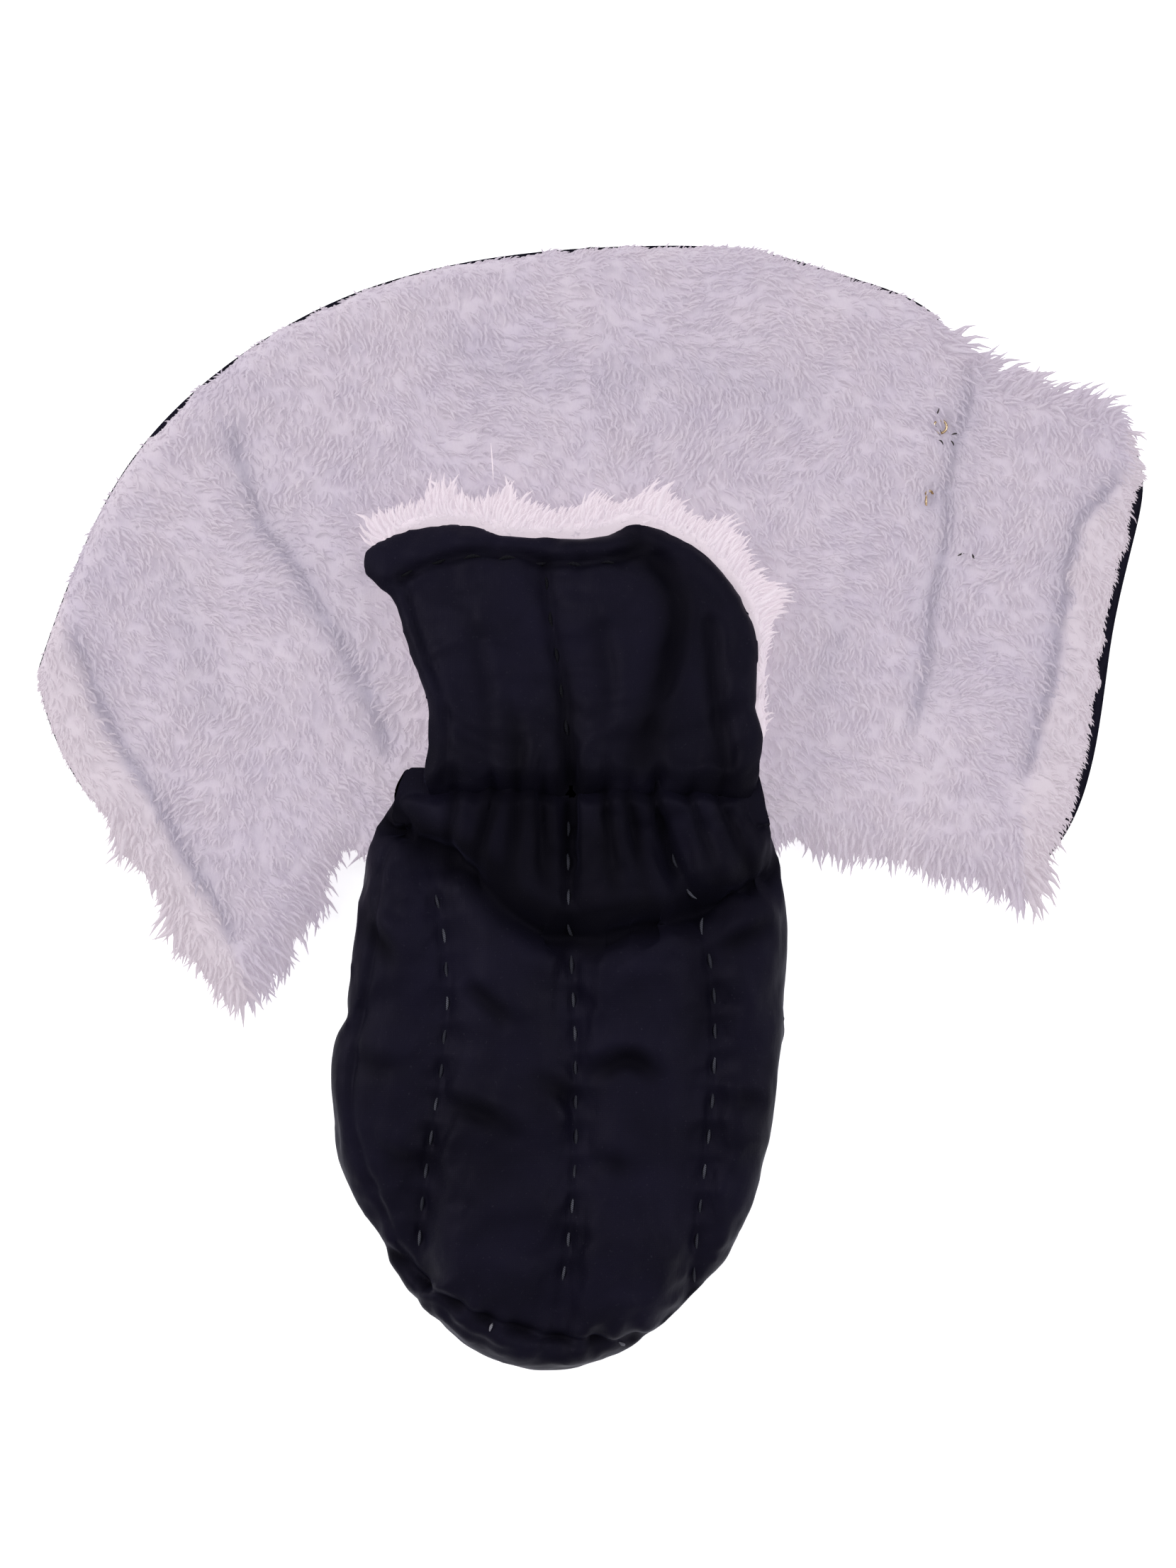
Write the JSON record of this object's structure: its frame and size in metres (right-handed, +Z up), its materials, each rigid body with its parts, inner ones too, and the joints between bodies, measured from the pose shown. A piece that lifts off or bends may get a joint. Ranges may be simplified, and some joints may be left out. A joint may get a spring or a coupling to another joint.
{
  "type": "trapper hat",
  "caption": "Quilted trapper hat laid out flat: padded crown with a gathered rim, a fold-up brow flap, and a fleece-lined neck panel with folding ear flaps.",
  "frame": {"origin": "on the table, under the middle of the gathered rim, which is the middle of the laid-out hat's box", "axes": "+Z up off the table, through the thin of the hat; +Y from the crown through the rim to the neck panel; +X to the right ear flap as seen from above"},
  "size_m": [0.3952, 0.397, 0.0446],
  "materials": {
    "navy_nylon": "satin woven nylon, quilted",
    "fleece": "deep sherpa pile",
    "wadding": "loose polyester wadding",
    "lining": "plain woven lining",
    "elastic": "braided elastic",
    "thread": "spun thread",
    "brass": "worn"
  },
  "bodies": {
    "crown": {"crown_back_shell": "navy_nylon", "crown_side_shell": "navy_nylon", "crown_front_shell": "navy_nylon", "crown_back_wadding": "wadding", "crown_side_wadding": "wadding", "crown_front_wadding": "wadding", "crown_back_lining": "lining", "crown_side_lining": "lining", "crown_front_lining": "lining", "rim_casing": "navy_nylon", "rim_elastic": "elastic", "neck_shell": "navy_nylon", "neck_wadding": "wadding", "neck_fleece": "fleece", "hook_ring": "brass", "hook_wire": "brass", "hook_threads": "thread", "quilting_left": "thread", "quilting_centre": "thread", "quilting_right": "thread"},
    "brow_flap": {"brow_shell": "navy_nylon", "brow_wadding": "wadding", "brow_fleece": "fleece", "brow_hem_stitches": "thread", "brow_centre_stitches": "thread"},
    "left_ear_flap": {"left_ear_shell": "navy_nylon", "left_ear_wadding": "wadding", "left_ear_fleece": "fleece", "left_ear_facing": "fleece"},
    "right_ear_flap": {"right_ear_shell": "navy_nylon", "right_ear_wadding": "wadding", "right_ear_fleece": "fleece", "right_ear_facing": "fleece"}
  },
  "joints": [
    {"name": "brow_flap_fold", "type": "hinge", "parent": "crown", "child": "brow_flap", "pos_m": [0, 0.0122, 0.0444], "axis": [1, 0, 0], "range_deg": [0, 172]},
    {"name": "left_ear_fold", "type": "hinge", "parent": "crown", "child": "left_ear_flap", "pos_m": [-0.136, 0.1525, 0], "axis": [-0.1607, 0.987, 0], "range_deg": [0, 70]},
    {"name": "right_ear_fold", "type": "hinge", "parent": "crown", "child": "right_ear_flap", "pos_m": [0.137, 0.1525, 0], "axis": [-0.1126, -0.9936, 0], "range_deg": [0, 80]}
  ]
}
